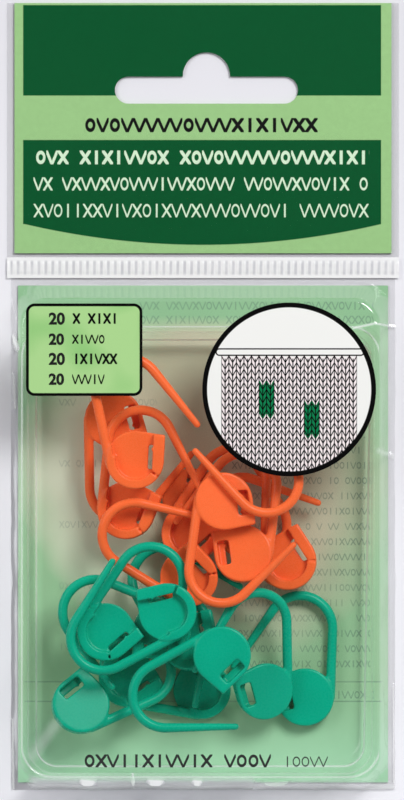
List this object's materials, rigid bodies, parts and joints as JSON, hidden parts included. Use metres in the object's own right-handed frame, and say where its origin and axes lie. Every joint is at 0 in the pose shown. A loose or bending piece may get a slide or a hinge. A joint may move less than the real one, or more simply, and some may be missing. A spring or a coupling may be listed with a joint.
{
  "type": "pack of lock-ring stitch markers",
  "caption": "Hang pack of orange and green lock-ring stitch markers: a header card over a clear pouch, with a clear tray full of hook-shaped markers that flex open and shut.",
  "frame": {"origin": "on the back film, below the middle of the pack", "axes": "+Y toward the hanging slot, +Z out of the front film, +X to the right as seen from the front"},
  "size_m": [0.068, 0.1366, 0.0159],
  "materials": {
    "clear_film": "clear glossy film",
    "white_seal": "milky welded film",
    "printed_card": "printed card",
    "printed_sheet": "printed paper",
    "clear_tray": "clear thermoformed plastic",
    "green_label": "printed sticker",
    "picture_label": "printed sticker",
    "orange_plastic": "moulded plastic",
    "green_plastic": "moulded plastic"
  },
  "bodies": {
    "pack": {"back_film": "clear_film", "insert_sheet": "printed_sheet", "clear_tray": "clear_tray", "pouch_film": "clear_film", "crimp_seal": "white_seal", "header_card": "printed_card", "header_film": "clear_film", "count_label": "green_label", "picture_label": "picture_label", "orange_01_body": "orange_plastic", "orange_02_body": "orange_plastic", "orange_03_body": "orange_plastic", "orange_04_body": "orange_plastic", "orange_05_body": "orange_plastic", "orange_06_body": "orange_plastic", "orange_07_body": "orange_plastic", "orange_08_body": "orange_plastic", "orange_09_body": "orange_plastic", "orange_10_body": "orange_plastic", "green_01_body": "green_plastic", "green_02_body": "green_plastic", "green_03_body": "green_plastic", "green_04_body": "green_plastic", "green_05_body": "green_plastic", "green_06_body": "green_plastic", "green_07_body": "green_plastic", "green_08_body": "green_plastic", "green_09_body": "green_plastic", "green_10_body": "green_plastic"},
    "orange_01_arm": {"orange_01_arm": "orange_plastic"},
    "orange_02_arm": {"orange_02_arm": "orange_plastic"},
    "orange_03_arm": {"orange_03_arm": "orange_plastic"},
    "orange_04_arm": {"orange_04_arm": "orange_plastic"},
    "orange_05_arm": {"orange_05_arm": "orange_plastic"},
    "orange_06_arm": {"orange_06_arm": "orange_plastic"},
    "orange_07_arm": {"orange_07_arm": "orange_plastic"},
    "orange_08_arm": {"orange_08_arm": "orange_plastic"},
    "orange_09_arm": {"orange_09_arm": "orange_plastic"},
    "orange_10_arm": {"orange_10_arm": "orange_plastic"},
    "green_01_arm": {"green_01_arm": "green_plastic"},
    "green_02_arm": {"green_02_arm": "green_plastic"},
    "green_03_arm": {"green_03_arm": "green_plastic"},
    "green_04_arm": {"green_04_arm": "green_plastic"},
    "green_05_arm": {"green_05_arm": "green_plastic"},
    "green_06_arm": {"green_06_arm": "green_plastic"},
    "green_07_arm": {"green_07_arm": "green_plastic"},
    "green_08_arm": {"green_08_arm": "green_plastic"},
    "green_09_arm": {"green_09_arm": "green_plastic"},
    "green_10_arm": {"green_10_arm": "green_plastic"}
  },
  "joints": [
    {"name": "orange_01_flex", "type": "hinge", "parent": "pack", "child": "orange_01_arm", "pos_m": [-0.01214, 0.00653, 0.01461], "axis": [0.0269, 0.0414, -0.9988], "range_deg": [-5, 13], "stiffness_Nm_per_rad": 0.0001},
    {"name": "orange_02_flex", "type": "hinge", "parent": "pack", "child": "orange_02_arm", "pos_m": [-0.00829, -0.00293, 0.00932], "axis": [0.1592, 0.0179, -0.9871], "range_deg": [-5, 19], "stiffness_Nm_per_rad": 0.0001},
    {"name": "orange_03_flex", "type": "hinge", "parent": "pack", "child": "orange_03_arm", "pos_m": [-0.01525, -0.01951, 0.01114], "axis": [-0.0034, 0.1254, -0.9921], "range_deg": [-5, 5], "stiffness_Nm_per_rad": 0.0001},
    {"name": "orange_04_flex", "type": "hinge", "parent": "pack", "child": "orange_04_arm", "pos_m": [0.00586, -0.00997, 0.00751], "axis": [-0.0696, 0.1482, 0.9865], "range_deg": [-5, 16], "stiffness_Nm_per_rad": 0.0001},
    {"name": "orange_05_flex", "type": "hinge", "parent": "pack", "child": "orange_05_arm", "pos_m": [0.00408, -0.01466, 0.00399], "axis": [0.0518, -0.0467, -0.9976], "range_deg": [-5, 8], "stiffness_Nm_per_rad": 0.0001},
    {"name": "orange_06_flex", "type": "hinge", "parent": "pack", "child": "orange_06_arm", "pos_m": [0.00436, -0.03558, 0.01425], "axis": [0.1008, 0.091, 0.9907], "range_deg": [-5, 20], "stiffness_Nm_per_rad": 0.0001},
    {"name": "orange_07_flex", "type": "hinge", "parent": "pack", "child": "orange_07_arm", "pos_m": [0.01444, -0.02326, 0.00189], "axis": [0.0087, 0.0151, 0.9998], "range_deg": [-5, 14], "stiffness_Nm_per_rad": 0.0001},
    {"name": "orange_08_flex", "type": "hinge", "parent": "pack", "child": "orange_08_arm", "pos_m": [0.01026, -0.02006, 0.01433], "axis": [-0.1032, -0.0949, -0.9901], "range_deg": [-5, 16], "stiffness_Nm_per_rad": 0.0001},
    {"name": "orange_09_flex", "type": "hinge", "parent": "pack", "child": "orange_09_arm", "pos_m": [-0.01196, -0.02102, 0.00478], "axis": [0.0003, -0.0174, 0.9998], "range_deg": [-5, 20], "stiffness_Nm_per_rad": 0.0001},
    {"name": "orange_10_flex", "type": "hinge", "parent": "pack", "child": "orange_10_arm", "pos_m": [0.00987, -0.0111, 0.00565], "axis": [0.0697, -0.1482, -0.9865], "range_deg": [-5, 16], "stiffness_Nm_per_rad": 0.0001},
    {"name": "green_01_flex", "type": "hinge", "parent": "pack", "child": "green_01_arm", "pos_m": [-0.00452, -0.02824, 0.01239], "axis": [0, 0, -1], "range_deg": [-5, 18], "stiffness_Nm_per_rad": 0.0001},
    {"name": "green_02_flex", "type": "hinge", "parent": "pack", "child": "green_02_arm", "pos_m": [-0.0228, -0.04245, 0.01447], "axis": [0, 0, -1], "range_deg": [-5, 16], "stiffness_Nm_per_rad": 0.0001},
    {"name": "green_03_flex", "type": "hinge", "parent": "pack", "child": "green_03_arm", "pos_m": [-0.02427, -0.0371, 0.00952], "axis": [-0.0258, 0.0293, 0.9992], "range_deg": [-5, 16], "stiffness_Nm_per_rad": 0.0001},
    {"name": "green_04_flex", "type": "hinge", "parent": "pack", "child": "green_04_arm", "pos_m": [-0.00718, -0.04363, 0.00517], "axis": [0.139, 0.1953, 0.9709], "range_deg": [-5, 16], "stiffness_Nm_per_rad": 0.0001},
    {"name": "green_05_flex", "type": "hinge", "parent": "pack", "child": "green_05_arm", "pos_m": [-0.01655, -0.04475, 0.00165], "axis": [0.0172, -0.003, -0.9998], "range_deg": [-5, 16], "stiffness_Nm_per_rad": 0.0001},
    {"name": "green_06_flex", "type": "hinge", "parent": "pack", "child": "green_06_arm", "pos_m": [-0.0102, -0.05584, 0.01436], "axis": [0, 0, 1], "range_deg": [-5, 14], "stiffness_Nm_per_rad": 0.0001},
    {"name": "green_07_flex", "type": "hinge", "parent": "pack", "child": "green_07_arm", "pos_m": [0.00725, -0.03444, 0.01125], "axis": [0.3292, -0.207, 0.9213], "range_deg": [-5, 19], "stiffness_Nm_per_rad": 0.0001},
    {"name": "green_08_flex", "type": "hinge", "parent": "pack", "child": "green_08_arm", "pos_m": [0.01507, -0.0348, 0.00206], "axis": [0, 0, 1], "range_deg": [-5, 19], "stiffness_Nm_per_rad": 0.0001},
    {"name": "green_09_flex", "type": "hinge", "parent": "pack", "child": "green_09_arm", "pos_m": [-0.0074, -0.02607, 0.00398], "axis": [0.1364, -0.1821, -0.9738], "range_deg": [-5, 16], "stiffness_Nm_per_rad": 0.0001},
    {"name": "green_10_flex", "type": "hinge", "parent": "pack", "child": "green_10_arm", "pos_m": [0.00045, -0.03774, 0.0036], "axis": [0.0177, -0.0603, -0.998], "range_deg": [-5, 14], "stiffness_Nm_per_rad": 0.0001}
  ]
}
